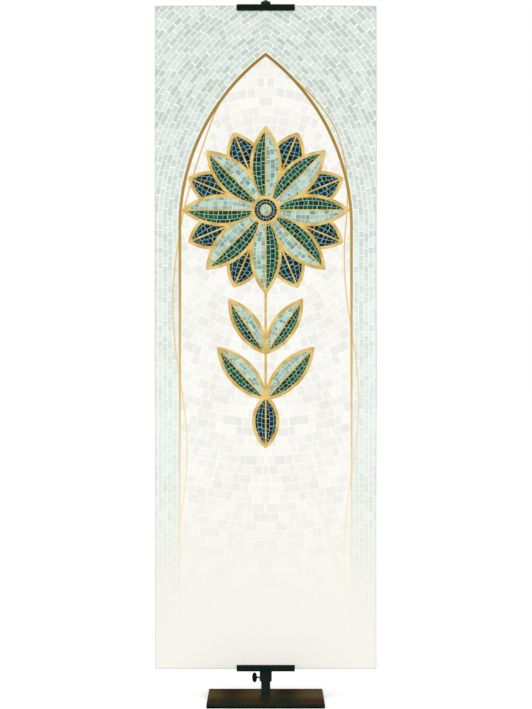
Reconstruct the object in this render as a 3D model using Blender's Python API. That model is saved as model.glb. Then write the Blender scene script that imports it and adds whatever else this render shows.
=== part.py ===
# A tall church banner of printed cloth, gripped at its top and bottom edges by two short
# channels on a floor stand. Metres, +Z up. The front of the cloth looks along -Y.
# The origin is on the floor, under the middle of the base plate and of the pole.

import math
from collections import namedtuple

import bmesh
import bpy
from mathutils import Matrix, Vector

TOUCH_GAP = 0.0003  # left between two pieces that touch or fit in each other
CUT_OVERRUN = 0.004  # how far a cutter reaches past what it cuts
ROUND_STEPS = 40  # sides of the pole, the sleeve and the cap
SCREW_STEPS = 20  # sides of the shank and of its holes

# Base plate
PLATE_WIDTH = 0.320
PLATE_DEPTH = 0.270
PLATE_THICKNESS = 0.011
PLATE_CORNER = 0.003
PLATE_EDGE = 0.0012

# Pole, a round steel tube with a weld bead round its foot
POLE_RADIUS = 0.0127
POLE_WALL = 0.0015
POLE_TOP = 1.9200
WELD_WIDTH = 0.0028
WELD_HEIGHT = 0.0045

# Cloth
CLOTH_WIDTH = 0.610
CLOTH_HEIGHT = 1.825
CLOTH_BOTTOM = 0.090
CLOTH_TOP = CLOTH_BOTTOM + CLOTH_HEIGHT
CLOTH_THICKNESS = 0.0012
HEM_THICKNESS = 0.0020
SIDE_HEM = 0.012
END_HEM = 0.036
HEM_STEP = 0.001
CELL_ACROSS = 0.036
CELL_ALONG = 0.060

# Channels that grip the cloth
CHANNEL_LENGTH = 0.160
CHANNEL_HEIGHT = 0.018
CHANNEL_WALL = 0.0020
CHANNEL_WEB = 0.0030
CHANNEL_EDGE = 0.0004
UPPER_CHANNEL_TOP = CLOTH_TOP + TOUCH_GAP + CHANNEL_WEB
LOWER_CHANNEL_BOTTOM = 0.0834

# Sliding sleeve on the pole, with a lug that carries the lower channel
SLEEVE_RADIUS = 0.01685
SLEEVE_BOTTOM = 0.0531
SLEEVE_TOP = 0.0990
SLEEVE_CHAMFER = 0.0008

# Cap on the pole, with a lug that carries the upper channel
CAP_RADIUS = 0.0142
CAP_BOTTOM = 1.8920
CAP_SHOULDER = 1.9227
CAP_DOME_HEIGHT = 0.0088
DOME_STEPS = 7
TIP_RADIUS = 0.0022
TIP_TOP = 1.9360

LUG_WIDTH = 0.020
LUG_HEIGHT = 0.011
LUG_REACH = 0.0020  # in front of the sleeve
LUG_DROP = 0.0020  # below the top of the upper channel

# Thumb screw that clamps the sleeve, along X through its left wall
SCREW_HEIGHT = 0.0638
SHANK_RADIUS = 0.0025
SHANK_IN_WING = 0.0060
HUB_RADIUS = 0.0046
HUB_INSET = 0.0005  # from each end of the wing
HUB_STEPS = 24
WING_INNER_X = -0.0237
WING_OUTER_X = -0.0374
WING_SPAN = 0.0277
WING_THICKNESS = 0.0064

# Places that follow from the sizes above, from the pole forwards
BORE_RADIUS = POLE_RADIUS + TOUCH_GAP
SLOT_WIDTH = HEM_THICKNESS + 2 * TOUCH_GAP
LUG_FRONT = -(SLEEVE_RADIUS + LUG_REACH)
CHANNEL_BACK = LUG_FRONT - TOUCH_GAP
SLOT_BACK = CHANNEL_BACK - CHANNEL_WALL
CHANNEL_FRONT = SLOT_BACK - SLOT_WIDTH - CHANNEL_WALL
CLOTH_FRONT = SLOT_BACK - TOUCH_GAP - HEM_THICKNESS

# The cloth hangs almost flat. Each row is one soft fold: its middle, its half widths across
# and along, how far it leans sideways for each metre of height, and how far it stands proud
# of the flat cloth, or behind it where that is negative.
Fold = namedtuple("Fold", "x z across along lean depth")
FOLDS = (
    Fold(x=-0.215, z=1.640, across=0.050, along=0.200, lean=-0.28, depth=0.0042),
    Fold(x=-0.125, z=1.360, across=0.042, along=0.300, lean=-0.12, depth=-0.0032),
    Fold(x=0.135, z=1.560, across=0.048, along=0.260, lean=0.16, depth=0.0036),
    Fold(x=0.225, z=1.180, across=0.052, along=0.280, lean=0.08, depth=-0.0040),
    Fold(x=-0.235, z=0.980, across=0.050, along=0.260, lean=0.05, depth=-0.0044),
    Fold(x=-0.030, z=1.050, across=0.070, along=0.420, lean=0.02, depth=0.0030),
    Fold(x=0.115, z=0.620, across=0.050, along=0.250, lean=-0.14, depth=-0.0030),
    Fold(x=-0.145, z=0.520, across=0.050, along=0.240, lean=0.20, depth=0.0040),
    Fold(x=0.230, z=0.420, across=0.048, along=0.200, lean=-0.22, depth=0.0038),
)

# Each row is the free side edge at one height: how far it curls forwards, left and right.
Curl = namedtuple("Curl", "z left right")
CURLS = (
    Curl(z=CLOTH_BOTTOM, left=-0.0060, right=-0.0040),
    Curl(z=0.420, left=0.0050, right=-0.0030),
    Curl(z=0.860, left=-0.0030, right=0.0055),
    Curl(z=1.270, left=0.0045, right=-0.0040),
    Curl(z=1.640, left=-0.0025, right=0.0030),
    Curl(z=CLOTH_TOP, left=-0.0070, right=-0.0085),
)
CURL_START = 0.150  # from the middle line, where a side edge starts to curl
FREE_LENGTH = 0.110  # from a channel, where the cloth is free to fold


def clear_scene():
    for old in list(bpy.data.objects):
        bpy.data.objects.remove(old, do_unlink=True)


def material(name, colour, roughness, metallic):
    made = bpy.data.materials.new(name)
    made.use_nodes = True
    shader = made.node_tree.nodes["Principled BSDF"]
    shader.inputs["Base Color"].default_value = (*colour, 1.0)
    shader.inputs["Roughness"].default_value = roughness
    shader.inputs["Metallic"].default_value = metallic
    return made


def add_object(name, bm, finish, smooth_angle=math.radians(35)):
    bmesh.ops.recalc_face_normals(bm, faces=bm.faces)
    mesh = bpy.data.meshes.new(name)
    bm.to_mesh(mesh)
    bm.free()
    mesh.materials.append(finish)
    mesh.shade_smooth()
    mesh.set_sharp_from_angle(angle=smooth_angle)
    made = bpy.data.objects.new(name, mesh)
    bpy.context.scene.collection.objects.link(made)
    return made


def add_cutter(name, bm):
    bmesh.ops.recalc_face_normals(bm, faces=bm.faces)
    mesh = bpy.data.meshes.new(name)
    bm.to_mesh(mesh)
    bm.free()
    made = bpy.data.objects.new(name, mesh)
    made.hide_render = True
    made.display_type = "WIRE"
    bpy.context.scene.collection.objects.link(made)
    return made


def join_or_cut(target, tool, operation):
    change = target.modifiers.new(f"{operation.lower()}_{tool.name}", "BOOLEAN")
    change.object = tool
    change.operation = operation
    change.solver = "EXACT"


def box_mesh(low, high):
    bm = bmesh.new()
    bmesh.ops.create_cube(bm, size=1.0)
    low, high = Vector(low), Vector(high)
    bmesh.ops.scale(bm, vec=high - low, verts=bm.verts)
    bmesh.ops.translate(bm, vec=(low + high) / 2, verts=bm.verts)
    return bm


def turned_mesh(profile, steps, closed):
    """A profile of (radius, height) points spun round Z. A closed profile makes a ring, and
    an open one starts and ends on the axis."""
    bm = bmesh.new()
    verts = [bm.verts.new((radius, 0.0, height)) for radius, height in profile]
    edges = [bm.edges.new(pair) for pair in zip(verts, verts[1:])]
    if closed:
        edges.append(bm.edges.new((verts[-1], verts[0])))
    bmesh.ops.spin(
        bm,
        geom=verts + edges,
        axis=(0, 0, 1),
        cent=(0, 0, 0),
        angle=2 * math.pi,
        steps=steps,
        use_merge=True,
    )
    bmesh.ops.remove_doubles(bm, verts=bm.verts, dist=1e-6)
    return bm


def bore_mesh(bottom, top):
    """A round cutter up the pole's axis, as wide as a bore that slides on the pole."""
    profile = [(0.0, bottom), (BORE_RADIUS, bottom), (BORE_RADIUS, top), (0.0, top)]
    return turned_mesh(profile, ROUND_STEPS, closed=False)


def rod_mesh(radius, start_x, end_x, height, sides):
    """A round rod along X, at y = 0 and the given height."""
    bm = bmesh.new()
    turn = Matrix.Rotation(math.pi / 2, 4, "Y")
    middle = Matrix.Translation(((start_x + end_x) / 2, 0.0, height))
    bmesh.ops.create_cone(
        bm,
        cap_ends=True,
        segments=sides,
        radius1=radius,
        radius2=radius,
        depth=abs(end_x - start_x),
        matrix=middle @ turn,
    )
    return bm


def smooth_step(value):
    value = min(max(value, 0.0), 1.0)
    return value * value * (3 - 2 * value)


def held_share(x, z):
    """0 inside a channel's grip, rising to 1 where the cloth is free."""
    beside = max(0.0, abs(x) - CHANNEL_LENGTH / 2)
    below_upper = max(0.0, UPPER_CHANNEL_TOP - CHANNEL_HEIGHT - z)
    above_lower = max(0.0, z - LOWER_CHANNEL_BOTTOM - CHANNEL_HEIGHT)
    distance = math.hypot(beside, min(below_upper, above_lower))
    return smooth_step(distance / FREE_LENGTH)


def edge_curl(x, z):
    """How far a side edge's curl brings this point of the cloth forwards."""
    share = max(0.0, abs(x) - CURL_START) / (CLOTH_WIDTH / 2 - CURL_START)
    for lower, upper in zip(CURLS, CURLS[1:]):
        if z <= upper.z:
            break
    rise = smooth_step((z - lower.z) / (upper.z - lower.z))
    low = lower.left if x < 0 else lower.right
    high = upper.left if x < 0 else upper.right
    return (low + (high - low) * rise) * share**2


def relief(x, z):
    """How far the cloth stands in front of its flat plane."""
    proud = edge_curl(x, z)
    for fold in FOLDS:
        across = (x - fold.x - fold.lean * (z - fold.z)) / fold.across
        along = (z - fold.z) / fold.along
        proud += fold.depth * math.exp(-(across**2) - along**2)
    return proud * held_share(x, z)


def cloth_thickness(x, z):
    from_side = CLOTH_WIDTH / 2 - abs(x)
    from_end = min(z - CLOTH_BOTTOM, CLOTH_TOP - z)
    in_hem = from_side < SIDE_HEM + HEM_STEP / 2 or from_end < END_HEM + HEM_STEP / 2
    return HEM_THICKNESS if in_hem else CLOTH_THICKNESS


def stations(lines, pitch):
    """The lines, with evenly spaced places between them no further apart than the pitch."""
    found = [lines[0]]
    for start, end in zip(lines, lines[1:]):
        cells = max(1, math.ceil((end - start) / pitch - 1e-6))
        found += [start + (end - start) * i / cells for i in range(1, cells + 1)]
    return found


def cloth_lines():
    half = CLOTH_WIDTH / 2
    grip = CHANNEL_LENGTH / 2 + HEM_STEP
    right = [0.0, grip, half - SIDE_HEM - HEM_STEP, half - SIDE_HEM, half]
    across = [-x for x in reversed(right[1:])] + right
    lower_grip = LOWER_CHANNEL_BOTTOM + CHANNEL_HEIGHT + HEM_STEP
    upper_grip = UPPER_CHANNEL_TOP - CHANNEL_HEIGHT - HEM_STEP
    along = [CLOTH_BOTTOM, lower_grip, CLOTH_BOTTOM + END_HEM]
    along += [CLOTH_BOTTOM + END_HEM + HEM_STEP, CLOTH_TOP - END_HEM - HEM_STEP]
    along += [CLOTH_TOP - END_HEM, upper_grip, CLOTH_TOP]
    return stations(across, CELL_ACROSS), stations(along, CELL_ALONG)


def make_cloth(finish):
    """One hemmed panel: a front and a back skin on the same folds, joined round the rim."""
    across, along = cloth_lines()
    bm = bmesh.new()
    front, back = [], []
    for z in along:
        front_row, back_row = [], []
        for x in across:
            y = CLOTH_FRONT - relief(x, z)
            front_row.append(bm.verts.new((x, y, z)))
            back_row.append(bm.verts.new((x, y + cloth_thickness(x, z), z)))
        front.append(front_row)
        back.append(back_row)
    for skin in (front, back):
        for low, high in zip(skin, skin[1:]):
            for i in range(len(across) - 1):
                bm.faces.new((low[i], low[i + 1], high[i + 1], high[i]))
    rim_edges = [edge for edge in bm.edges if edge.is_boundary]
    bmesh.ops.bridge_loops(bm, edges=rim_edges)
    return add_object("banner_cloth", bm, finish)


def make_base_plate(finish):
    half_width, half_depth = PLATE_WIDTH / 2, PLATE_DEPTH / 2
    bm = box_mesh((-half_width, -half_depth, 0.0), (half_width, half_depth, PLATE_THICKNESS))
    upright = [e for e in bm.edges if abs(e.verts[0].co.z - e.verts[1].co.z) > PLATE_THICKNESS / 2]
    bmesh.ops.bevel(
        bm, geom=upright, offset=PLATE_CORNER, segments=3, profile=0.5, affect="EDGES", material=-1
    )
    top_rim = [e for e in bm.edges if min(v.co.z for v in e.verts) > PLATE_THICKNESS / 2]
    bmesh.ops.bevel(
        bm, geom=top_rim, offset=PLATE_EDGE, segments=2, profile=0.5, affect="EDGES", material=-1
    )
    return add_object("base_plate", bm, finish)


def make_pole(finish):
    foot = PLATE_THICKNESS + TOUCH_GAP
    inner = POLE_RADIUS - POLE_WALL
    bead = POLE_RADIUS + WELD_WIDTH
    profile = [
        (inner, foot),
        (bead, foot),
        (bead, foot + WELD_HEIGHT * 0.20),
        (POLE_RADIUS + WELD_WIDTH * 0.45, foot + WELD_HEIGHT * 0.60),
        (POLE_RADIUS, foot + WELD_HEIGHT),
        (POLE_RADIUS, POLE_TOP),
        (inner, POLE_TOP),
    ]
    return add_object("pole", turned_mesh(profile, ROUND_STEPS, closed=True), finish)


def make_sleeve(finish):
    profile = [
        (BORE_RADIUS, SLEEVE_BOTTOM),
        (SLEEVE_RADIUS - SLEEVE_CHAMFER, SLEEVE_BOTTOM),
        (SLEEVE_RADIUS, SLEEVE_BOTTOM + SLEEVE_CHAMFER),
        (SLEEVE_RADIUS, SLEEVE_TOP - SLEEVE_CHAMFER),
        (SLEEVE_RADIUS - SLEEVE_CHAMFER, SLEEVE_TOP),
        (BORE_RADIUS, SLEEVE_TOP),
    ]
    sleeve = add_object("sliding_sleeve", turned_mesh(profile, ROUND_STEPS, closed=True), finish)
    lug_top = SLEEVE_TOP - SLEEVE_CHAMFER * 2
    lug = box_mesh(
        (-LUG_WIDTH / 2, LUG_FRONT, lug_top - LUG_HEIGHT),
        (LUG_WIDTH / 2, -BORE_RADIUS + POLE_WALL, lug_top),
    )
    join_or_cut(sleeve, add_cutter("sleeve_lug_block", lug), "UNION")
    bore_cut = bore_mesh(SLEEVE_BOTTOM - CUT_OVERRUN, SLEEVE_TOP + CUT_OVERRUN)
    join_or_cut(sleeve, add_cutter("sleeve_bore_cut", bore_cut), "DIFFERENCE")
    hole_cut = rod_mesh(
        SHANK_RADIUS + TOUCH_GAP,
        -SLEEVE_RADIUS - CUT_OVERRUN,
        -BORE_RADIUS + CUT_OVERRUN,
        SCREW_HEIGHT,
        SCREW_STEPS,
    )
    join_or_cut(sleeve, add_cutter("screw_hole_cut", hole_cut), "DIFFERENCE")
    return sleeve


def dome_points():
    """The cap's quarter ellipse, from its shoulder to where the tip stands on it."""
    end = math.acos(TIP_RADIUS / CAP_RADIUS)
    angles = [end * i / DOME_STEPS for i in range(DOME_STEPS + 1)]
    return [
        (CAP_RADIUS * math.cos(a), CAP_SHOULDER + CAP_DOME_HEIGHT * math.sin(a)) for a in angles
    ]


def make_cap(finish):
    roof = POLE_TOP + TOUCH_GAP
    profile = [(0.0, roof), (BORE_RADIUS, roof), (BORE_RADIUS, CAP_BOTTOM), (CAP_RADIUS, CAP_BOTTOM)]
    profile += dome_points()
    profile += [
        (TIP_RADIUS, TIP_TOP - TIP_RADIUS * 0.7),
        (TIP_RADIUS * 0.7, TIP_TOP - TIP_RADIUS * 0.2),
        (0.0, TIP_TOP),
    ]
    cap = add_object("pole_cap", turned_mesh(profile, ROUND_STEPS, closed=False), finish)
    lug_top = UPPER_CHANNEL_TOP - LUG_DROP
    lug = box_mesh(
        (-LUG_WIDTH / 2, LUG_FRONT, lug_top - LUG_HEIGHT),
        (LUG_WIDTH / 2, -BORE_RADIUS - TOUCH_GAP, lug_top),
    )
    join_or_cut(cap, add_cutter("cap_lug_block", lug), "UNION")
    bore_cut = bore_mesh(CAP_BOTTOM - CUT_OVERRUN, roof)
    join_or_cut(cap, add_cutter("cap_bore_cut", bore_cut), "DIFFERENCE")
    return cap


def make_channel(name, bottom, opens_up, finish):
    """A folded steel strip, a U in section, open on the side that the cloth comes from."""
    front_gap = SLOT_BACK - SLOT_WIDTH
    section = [
        (CHANNEL_FRONT, 0.0),
        (CHANNEL_BACK, 0.0),
        (CHANNEL_BACK, CHANNEL_HEIGHT),
        (SLOT_BACK, CHANNEL_HEIGHT),
        (SLOT_BACK, CHANNEL_WEB),
        (front_gap, CHANNEL_WEB),
        (front_gap, CHANNEL_HEIGHT),
        (CHANNEL_FRONT, CHANNEL_HEIGHT),
    ]
    if not opens_up:
        section = [(y, CHANNEL_HEIGHT - z) for y, z in section]
    bm = bmesh.new()
    end = bm.faces.new([bm.verts.new((-CHANNEL_LENGTH / 2, y, bottom + z)) for y, z in section])
    run = bmesh.ops.extrude_face_region(bm, geom=[end])
    moved = [part for part in run["geom"] if isinstance(part, bmesh.types.BMVert)]
    bmesh.ops.translate(bm, vec=(CHANNEL_LENGTH, 0, 0), verts=moved)
    outer = [
        e for e in bm.edges
        if all(abs(v.co.y - SLOT_BACK + SLOT_WIDTH / 2) > SLOT_WIDTH * 0.6 for v in e.verts)
    ]
    bmesh.ops.bevel(
        bm, geom=outer, offset=CHANNEL_EDGE, segments=2, profile=0.5, affect="EDGES", material=-1
    )
    return add_object(name, bm, finish)


def make_screw(steel, plastic):
    """The thumb screw: a shank that stops against the pole, and an oval wing pressed on it.
    Both have their origin on the screw's axis, where the wing turns."""
    hub_x = (WING_INNER_X + WING_OUTER_X) / 2
    shank_end = WING_INNER_X - SHANK_IN_WING
    shank = add_object(
        "screw_shank",
        rod_mesh(SHANK_RADIUS, shank_end, -BORE_RADIUS, SCREW_HEIGHT, SCREW_STEPS),
        steel,
    )
    bm = bmesh.new()
    half_sizes = ((WING_INNER_X - WING_OUTER_X) / 2, WING_THICKNESS / 2, WING_SPAN / 2)
    bmesh.ops.create_uvsphere(bm, u_segments=HUB_STEPS, v_segments=16, radius=1.0)
    bmesh.ops.scale(bm, vec=half_sizes, verts=bm.verts)
    bmesh.ops.translate(bm, vec=(hub_x, 0, SCREW_HEIGHT), verts=bm.verts)
    wing = add_object("screw_wing", bm, plastic)
    hub_ends = (WING_OUTER_X + HUB_INSET, WING_INNER_X - HUB_INSET)
    hub = rod_mesh(HUB_RADIUS, *hub_ends, SCREW_HEIGHT, HUB_STEPS)
    join_or_cut(wing, add_cutter("wing_hub_block", hub), "UNION")
    socket_ends = (shank_end - TOUCH_GAP, WING_INNER_X + CUT_OVERRUN)
    socket = rod_mesh(SHANK_RADIUS + TOUCH_GAP, *socket_ends, SCREW_HEIGHT, SCREW_STEPS)
    join_or_cut(wing, add_cutter("wing_socket_cut", socket), "DIFFERENCE")
    pivot = Matrix.Translation((hub_x, 0, SCREW_HEIGHT))
    for piece in (shank, wing):
        piece.data.transform(pivot.inverted())
        piece.matrix_world = pivot


def main():
    clear_scene()
    black_steel = material("black_steel", (0.008, 0.018, 0.012), 0.40, 0.6)
    plate_finish = material("plate_finish", (0.040, 0.028, 0.016), 0.35, 0.5)
    black_plastic = material("black_plastic", (0.008, 0.014, 0.010), 0.45, 0.0)
    printed_cloth = material("printed_cloth", (0.89, 0.90, 0.86), 0.85, 0.0)
    make_base_plate(plate_finish)
    make_pole(black_steel)
    make_sleeve(black_steel)
    make_cap(black_steel)
    make_channel("lower_channel", LOWER_CHANNEL_BOTTOM, True, black_steel)
    make_channel("upper_channel", UPPER_CHANNEL_TOP - CHANNEL_HEIGHT, False, black_steel)
    make_screw(black_steel, black_plastic)
    make_cloth(printed_cloth)


main()
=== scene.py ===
import math

import bmesh
import bpy
from mathutils import Matrix, Vector

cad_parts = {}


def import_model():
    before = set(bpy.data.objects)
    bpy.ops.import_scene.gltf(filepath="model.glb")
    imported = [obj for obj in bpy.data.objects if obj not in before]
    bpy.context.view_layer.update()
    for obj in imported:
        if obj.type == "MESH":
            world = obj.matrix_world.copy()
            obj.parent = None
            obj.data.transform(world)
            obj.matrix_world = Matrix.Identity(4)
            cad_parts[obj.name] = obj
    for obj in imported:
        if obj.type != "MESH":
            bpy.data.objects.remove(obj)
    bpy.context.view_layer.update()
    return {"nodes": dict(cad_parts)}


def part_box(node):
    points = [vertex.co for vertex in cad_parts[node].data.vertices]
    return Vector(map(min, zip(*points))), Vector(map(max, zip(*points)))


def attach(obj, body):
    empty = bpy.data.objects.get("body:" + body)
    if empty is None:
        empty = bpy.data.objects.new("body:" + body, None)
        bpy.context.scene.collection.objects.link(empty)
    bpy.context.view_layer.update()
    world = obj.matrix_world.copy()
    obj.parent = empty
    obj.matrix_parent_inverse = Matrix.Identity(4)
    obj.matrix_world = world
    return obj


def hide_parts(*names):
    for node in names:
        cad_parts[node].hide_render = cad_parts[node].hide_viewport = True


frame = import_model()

# A tall church banner of printed cloth on its floor stand: fine shapes, finishes and studio.
# Metres, +Z up. The printed front looks along -Y, and the stand is on the floor at z = 0.

scene = bpy.context.scene
print("frame loaded:", len(frame["nodes"]), "solids")
touchGap = 0.0003   # left between two pieces that touch


# Helpers for shaders

def srgb(red, green, blue):
    # a colour as an eye reads it, 0 to 255, made linear
    parts = [value / 255 for value in (red, green, blue)]
    return (*[p / 12.92 if p <= 0.04045 else ((p + 0.055) / 1.055) ** 2.4 for p in parts], 1.0)


def feed(tree, socket, value):
    # a number or a colour is set on the socket, and anything else is linked to it
    if isinstance(value, (int, float, tuple)):
        socket.default_value = value
    else:
        tree.links.new(getattr(value, "socket", value), socket)


def addNode(tree, kind, inputs, **settings):
    node = tree.nodes.new(kind)
    for label, setting in settings.items():
        setattr(node, label, setting)
    for label, value in inputs.items():
        feed(tree, node.inputs[label], value)
    return node


class Num:
    # a number on its way through a shader, so that sums can be written as sums
    def __init__(self, tree, socket):
        self.tree = tree
        self.socket = socket

    def __add__(self, other):
        return calc("ADD", self, other)

    def __sub__(self, other):
        return calc("SUBTRACT", self, other)

    def __rsub__(self, other):
        return calc("SUBTRACT", other, self)

    def __mul__(self, other):
        return calc("MULTIPLY", self, other)

    def __truediv__(self, other):
        return calc("DIVIDE", self, other)

    def __abs__(self):
        return calc("ABSOLUTE", self)

    __radd__ = __add__
    __rmul__ = __mul__

    def under(self, limit, soft=0.0007):
        # 1 where the number is under the limit, 0 where it is over
        return calc("MULTIPLY_ADD", self, -1 / soft, limit / soft + 0.5, clamp=True)

    def over(self, limit, soft=0.0007):
        return calc("MULTIPLY_ADD", self, 1 / soft, 0.5 - limit / soft, clamp=True)


def calc(operation, *values, clamp=False):
    tree = next(value.tree for value in values if isinstance(value, Num))
    inputs = dict(enumerate(values))
    node = addNode(tree, "ShaderNodeMath", inputs, operation=operation, use_clamp=clamp)
    return Num(tree, node.outputs[0])


def distance(across, along):
    return calc("SQRT", calc("MULTIPLY_ADD", across, across, along * along))


def mix(tree, kind, share, first, second):
    start, out = {"FLOAT": (2, 0), "VECTOR": (4, 1), "RGBA": (6, 2)}[kind]
    values = {0: share, start: first, start + 1: second}
    return Num(tree, addNode(tree, "ShaderNodeMix", values, data_type=kind).outputs[out])


def blend(tree, share, first, second):
    # two colours mixed, each an ink as an eye reads it or a colour on its way
    first, second = [srgb(*ink) if isinstance(ink, tuple) else ink for ink in (first, second)]
    return mix(tree, "RGBA", share, first, second)


def combine(tree, x, y, z=0.0):
    return Num(tree, addNode(tree, "ShaderNodeCombineXYZ", {0: x, 1: y, 2: z}).outputs[0])


def split(tree, vector):
    node = addNode(tree, "ShaderNodeSeparateXYZ", {0: vector})
    return [Num(tree, socket) for socket in node.outputs]


def noise(tree, vector, scale, detail, roughness=0.5, dimensions="3D", output="Fac"):
    values = {"Vector": vector, "Scale": scale, "Detail": detail, "Roughness": roughness}
    node = addNode(tree, "ShaderNodeTexNoise", values, noise_dimensions=dimensions)
    return Num(tree, node.outputs[output])


def ramp(tree, share, stops, steps=False):
    node = addNode(tree, "ShaderNodeValToRGB", {0: share})
    node.color_ramp.interpolation = "CONSTANT" if steps else "LINEAR"
    points = node.color_ramp.elements
    while len(points) < len(stops):
        points.new(1.0)
    for point, (position, colour) in zip(points, stops):
        point.position = position
        point.color = colour
    return Num(tree, node.outputs[0])


def smooth(value, low, high):
    # 0 under low, 1 over high, and an even curve between them
    inputs = {"Value": value, "From Min": low, "From Max": high}
    node = addNode(value.tree, "ShaderNodeMapRange", inputs, interpolation_type="SMOOTHSTEP")
    return Num(value.tree, node.outputs[0])


def newGroup(name, inputs, outputs):
    group = bpy.data.node_groups.new(name, "ShaderNodeTree")
    for direction, sockets in (("INPUT", inputs), ("OUTPUT", outputs)):
        for label, kind in sockets.items():
            group.interface.new_socket(label, in_out=direction, socket_type="NodeSocket" + kind)
    entry = group.nodes.new("NodeGroupInput")
    leave = group.nodes.new("NodeGroupOutput")
    return group, {s.name: Num(group, s) for s in entry.outputs if s.name}, leave


def useGroup(tree, group, values):
    node = addNode(tree, "ShaderNodeGroup", values, node_tree=group)
    return {s.name: Num(tree, s) for s in node.outputs}


def newFinish(name, settings):
    finish = bpy.data.materials.new(name)
    finish.use_nodes = True
    shader = finish.node_tree.nodes["Principled BSDF"]
    for label, value in settings.items():
        shader.inputs[label].default_value = value
    return finish, finish.node_tree, shader


def addBump(tree, shader, height, depth, strength):
    values = {"Distance": depth, "Strength": strength, "Height": height}
    feed(tree, shader.inputs["Normal"], addNode(tree, "ShaderNodeBump", values).outputs[0])


def ownCoordinates(tree):
    node = tree.nodes.new("ShaderNodeTexCoord")
    return Num(tree, node.outputs["Object"]), Num(tree, node.outputs["Normal"])


def seenByCamera(tree):
    node = tree.nodes.new("ShaderNodeLightPath")
    return Num(tree, node.outputs["Is Camera Ray"])


# Effects that more than one finish uses. A noise is its scale, detail and roughness, and a range
# is where its effect comes in.

effects = {
    "wearNoise": (90.0, 4.0, 0.65),
    "wearRange": (0.46, 0.66),
    "dustDetail": (5.0, 0.6),
    "dustRange": (0.35, 0.72),
    "dustOnSides": 0.2,
    "facesUp": (0.3, 1.0),
    "grainDetail": 2.0,
    "toneNoise": (22.0, 3.0, 0.6),
}


def makeEdgeWear():
    # rubbed paint along the edges of a box with this middle and these half sizes
    group, given, leave = newGroup(
        "edgeWear",
        {"Place": "Vector", "Middle": "Vector", "Half Size": "Vector", "Width": "Float"},
        {"Wear": "Float"},
    )
    ends = {0: given["Place"], 1: given["Middle"]}
    offset = addNode(group, "ShaderNodeVectorMath", ends, operation="SUBTRACT")
    near = []
    for part, half in zip(split(group, offset.outputs[0]), split(group, given["Half Size"])):
        inside = half - abs(part)
        near.append(calc("SUBTRACT", 1.0, inside / given["Width"], clamp=True))
    first, second, third = near
    edges = calc("MAXIMUM", second * third, first * third)
    edges = calc("MAXIMUM", first * second, edges)
    patchy = smooth(noise(group, given["Place"], *effects["wearNoise"]), *effects["wearRange"])
    feed(group, leave.inputs["Wear"], edges * patchy)
    return group


def makeDust():
    # pale dust, more on what faces up
    group, given, leave = newGroup(
        "dust", {"Place": "Vector", "Facing": "Vector", "Scale": "Float"}, {"Dust": "Float"}
    )
    lying = smooth(split(group, given["Facing"])[2], *effects["facesUp"])
    spread = lying * (1 - effects["dustOnSides"]) + effects["dustOnSides"]
    patches = noise(group, given["Place"], given["Scale"], *effects["dustDetail"])
    feed(group, leave.inputs["Dust"], smooth(patches, *effects["dustRange"]) * spread)
    return group


def makeGrain():
    # the small ripple of sprayed paint or moulded plastic
    group, given, leave = newGroup(
        "grain", {"Place": "Vector", "Scale": "Float"}, {"Height": "Float", "Tone": "Float"}
    )
    height = noise(group, given["Place"], given["Scale"], effects["grainDetail"])
    feed(group, leave.inputs["Height"], height)
    feed(group, leave.inputs["Tone"], noise(group, given["Place"], *effects["toneNoise"]))
    return group


edgeWear = makeEdgeWear()
dust = makeDust()
grain = makeGrain()


# The printed design: an arch of hand-laid tile courses, a mosaic flower on a leafy stem, and
# gold lines. Sizes in metres on the cloth, up from its bottom edge and across from its middle.

cloth = {
    "height": 1.825,
    "hemFolded": 0.0020,
    "thickness": 0.0012,
    "sideHem": 0.012,
    "endHem": 0.036,
    "hemStep": 0.001,
    "cell": 0.006,
    "rimRadius": 0.0005,
    "curlStart": 0.150,       # from the middle, where a side edge starts to curl
    "freeLength": 0.110,      # from a channel to where the cloth moves freely
    "weavePitch": 0.0009,
    "weaveShade": -0.014,
    "white": 0.925,           # share of light that the whitest print gives back
    "weaveBump": (0.00012, 0.35),
    "showThrough": 0.16,      # share of the print that shows on the back
}

design = {
    "flowerUp": 1.262,
    "archHalf": 0.236,
    "archSpring": 1.215,
    "archReach": 0.36,
    "courseDepth": 0.0135,
    "courseTile": 0.0215,
    "courseJoint": 0.0009,     # from a tile's edge to the middle of its joint, as in each kind
    "groundTile": 0.026,
    "groundJoint": 0.0010,
    "motifTile": 0.0130,
    "motifJoint": 0.0006,
    "jointSoft": 0.0006,
    "waver": 0.006,
    "waverNoise": (9.0, 1.0),
    "lineHalf": 0.0040,
    "lineTip": 0.0012,
    "lineSoft": 0.0010,
    "waveHalf": 0.0018,
    "waveSwing": 0.020,
    "waveLength": 0.80,
    "waveShift": 2.1,          # how far the right line's waves are ahead of the left one's
    "waveFade": (0.30, 0.02),  # how far below the arch's tip it settles on the straight line
    "outlineHalf": 0.0044,
    "ribHalf": 0.0021,
    # painted shade along the cut edge: its width and softness
    "rim": 0.0021,
    "rimSoft": 0.0008,
    "shimmerNoise": (26.0, 2.0),
    "shimmerRange": (0.30, 0.70),
    "petals": 8,
    "hub": 0.035,
    "eye": 0.014,
    "hubTiles": 3.0,
    "rows": 3,                 # rows of tiles in each half of a petal or leaf, and in the hub
    "stemHalf": 0.0034,
    "stemTop": 1.060,
    "stemFoot": 0.700,
}

# Heights between which parts of the print come in
fades = {
    "ground": (0.10, 0.62),
    "lowCourses": (0.02, 0.60),
    "highCourses": (0.60, 1.75),
    "mist": (0.10, 0.80),
    "goldLines": (0.03, 0.40),
    "lineWidth": (0.25, 1.35),
}
lowCourseShare = 0.45

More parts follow.
